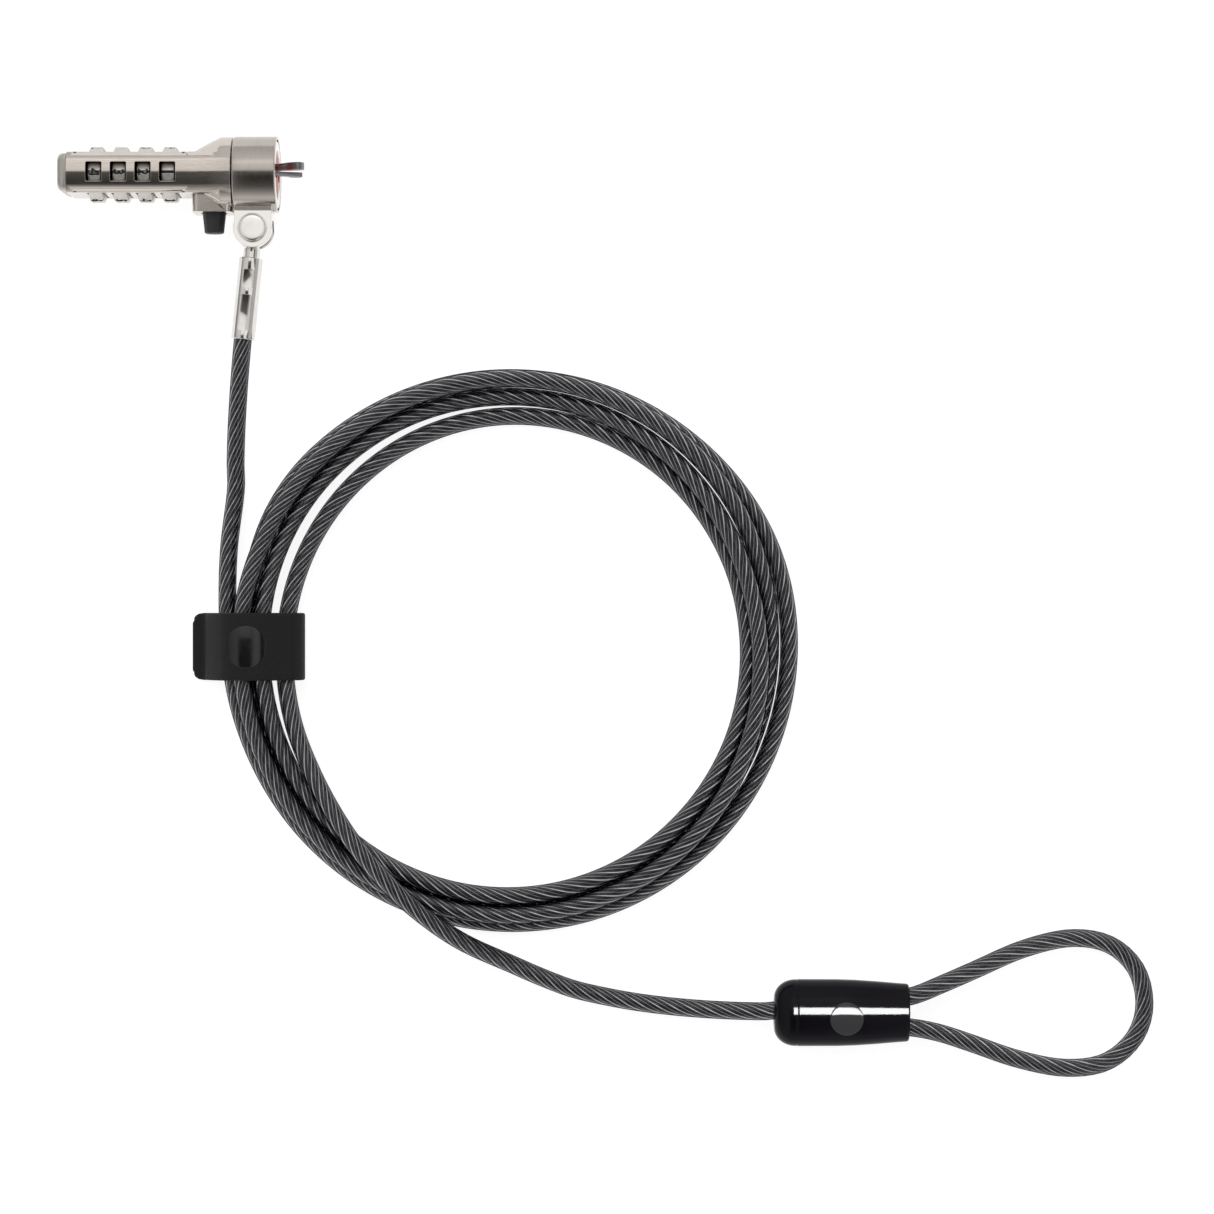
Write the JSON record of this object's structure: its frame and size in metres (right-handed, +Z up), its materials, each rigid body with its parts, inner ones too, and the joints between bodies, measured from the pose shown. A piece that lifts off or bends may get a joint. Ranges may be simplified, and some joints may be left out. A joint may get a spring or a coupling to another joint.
{
  "type": "laptop cable lock",
  "caption": "Combination lock head with dials, swivelling cable pivot, coiled sleeved steel cable ending in a loop, and a hook-and-loop strap round the coil.",
  "frame": {"origin": "centre of the bounding box, on the table the lock lies on", "axes": "+X along the lock axis out of its nose, +Z up away from the table, +Y across the lock away from the cable"},
  "size_m": [0.2428, 0.2088, 0.017],
  "materials": {
    "satin_nickel": "satin nickel plated die casting, brushed along its length",
    "collar_nickel": "satin nickel drum with a polished lug",
    "cap_nickel": "satin nickel",
    "chrome": "polished chrome plate",
    "dark_steel": "dark hardened steel",
    "steel": "plain turned steel",
    "brass": "plain brass",
    "dial_metal": "satin nickel with black filled digits",
    "red_plastic": "soft red plastic",
    "black_plastic": "matt black moulding",
    "sleeve_plastic": "glossy black moulding",
    "jacket_plastic": "glossy clear smoke-grey vinyl over the rope",
    "rope_steel": "stranded steel wire",
    "strap_fabric": "black hook-and-loop webbing"
  },
  "bodies": {
    "cable_assembly": {"wire_rope": "rope_steel", "cable_jacket": "jacket_plastic", "loop_crimp": "steel", "sleeve_cover": "sleeve_plastic", "ferrule": "chrome", "cable_eye": "chrome", "strap_base": "strap_fabric"},
    "strap_top": {"strap_flap": "strap_fabric"},
    "collar": {"collar": "collar_nickel", "pivot_pin": "steel"},
    "lock_body": {"main_body": "satin_nickel", "end_cap": "cap_nickel", "end_cap_pin": "steel", "nose_flange": "chrome", "nose_disc": "red_plastic", "hook_pin": "steel", "detent_spring": "steel", "spindle_spring": "steel", "button_spring": "steel"},
    "dial_1": {"dial_wheel_1": "dial_metal", "tumbler_1": "brass"},
    "dial_2": {"dial_wheel_2": "dial_metal", "tumbler_2": "brass"},
    "dial_3": {"dial_wheel_3": "dial_metal", "tumbler_3": "brass"},
    "dial_4": {"dial_wheel_4": "dial_metal", "tumbler_4": "brass"},
    "button": {"button": "black_plastic"},
    "spindle": {"code_spindle": "steel"},
    "hook_up": {"hook_blade_upper": "dark_steel"},
    "hook_down": {"hook_blade_lower": "dark_steel"},
    "reset": {"reset_screw": "steel"}
  },
  "joints": [
    {"name": "lug_pivot", "type": "hinge", "parent": "cable_assembly", "child": "collar", "pos_m": [-0.07865, 0.08385, 0.0085], "axis": [0, 0, 1], "range_deg": [-80, 38]},
    {"name": "collar_swivel", "type": "hinge", "parent": "collar", "child": "lock_body", "pos_m": [-0.07834, 0.09595, 0.0085], "axis": [1, 0, 0], "continuous": true},
    {"name": "dial_1_turn", "type": "hinge", "parent": "lock_body", "child": "dial_1", "pos_m": [-0.11324, 0.09595, 0.0085], "axis": [1, 0, 0], "continuous": true},
    {"name": "dial_2_turn", "type": "hinge", "parent": "lock_body", "child": "dial_2", "pos_m": [-0.10784, 0.09595, 0.0085], "axis": [1, 0, 0], "continuous": true},
    {"name": "dial_3_turn", "type": "hinge", "parent": "lock_body", "child": "dial_3", "pos_m": [-0.10244, 0.09595, 0.0085], "axis": [1, 0, 0], "continuous": true},
    {"name": "dial_4_turn", "type": "hinge", "parent": "lock_body", "child": "dial_4", "pos_m": [-0.09705, 0.09595, 0.0085], "axis": [1, 0, 0], "continuous": true},
    {"name": "button_press", "type": "slide", "parent": "lock_body", "child": "button", "axis": [0, 1, 0], "range_m": [0, 0.002], "stiffness_N_per_m": 300, "deforming": ["button_spring"]},
    {"name": "spindle_slide", "type": "slide", "parent": "lock_body", "child": "spindle", "axis": [-1, 0, 0], "range_m": [0, 0.001], "deforming": ["spindle_spring"]},
    {"name": "hook_up_close", "type": "hinge", "parent": "lock_body", "child": "hook_up", "pos_m": [-0.07795, 0.09595, 0.0085], "axis": [0, 1, 0], "range_deg": [0, 11.1]},
    {"name": "hook_down_close", "type": "hinge", "parent": "lock_body", "child": "hook_down", "pos_m": [-0.07795, 0.09595, 0.0085], "axis": [0, -1, 0], "range_deg": [0, 11.1]},
    {"name": "reset_turn", "type": "hinge", "parent": "lock_body", "child": "reset", "pos_m": [-0.12019, 0.09595, 0.0085], "axis": [1, 0, 0], "range_deg": [0, 90]},
    {"name": "strap_open", "type": "hinge", "parent": "cable_assembly", "child": "strap_top", "pos_m": [-0.06804, -0.00855, 0.0033], "axis": [0, 1, 0], "range_deg": [0, 100]}
  ],
  "couplings": [
    {"joint": "spindle_slide", "follows": "button_press", "ratio": 0.5},
    {"joint": "hook_up_close", "follows": "button_press", "rad_per_m": 96},
    {"joint": "hook_down_close", "follows": "button_press", "rad_per_m": 96}
  ]
}
